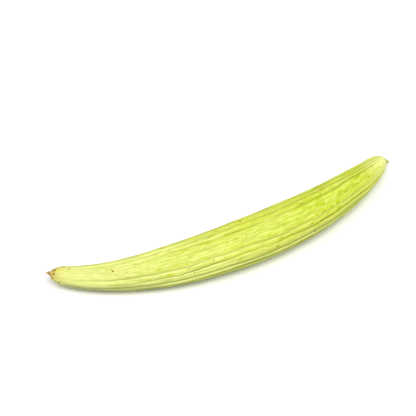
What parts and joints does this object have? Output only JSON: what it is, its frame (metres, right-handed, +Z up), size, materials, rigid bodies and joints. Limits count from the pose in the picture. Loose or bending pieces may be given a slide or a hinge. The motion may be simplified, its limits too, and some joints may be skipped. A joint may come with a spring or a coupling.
{
  "type": "armenian cucumber",
  "caption": "Long, curved, ribbed armenian cucumber lying on its side, with a short bent stem stub at one end and a withered flower rest at the other.",
  "frame": {"origin": "on the table, under the middle of the fruit's bounding box", "axes": "+X along the chord of the curved fruit, from the blossom end to the stem end; +Z up; the outer side of the curve bulges towards -Y"},
  "size_m": [0.3904, 0.0804, 0.046],
  "materials": {
    "skin": "satin, waxy, pale yellow-green plant skin",
    "green_stem": "matt, fibrous, olive-green stalk",
    "dry_flower": "matt, dry, brown"
  },
  "bodies": {
    "root": {"fruit": "skin", "stem": "green_stem", "blossom_remnant": "dry_flower"}
  },
  "joints": []
}
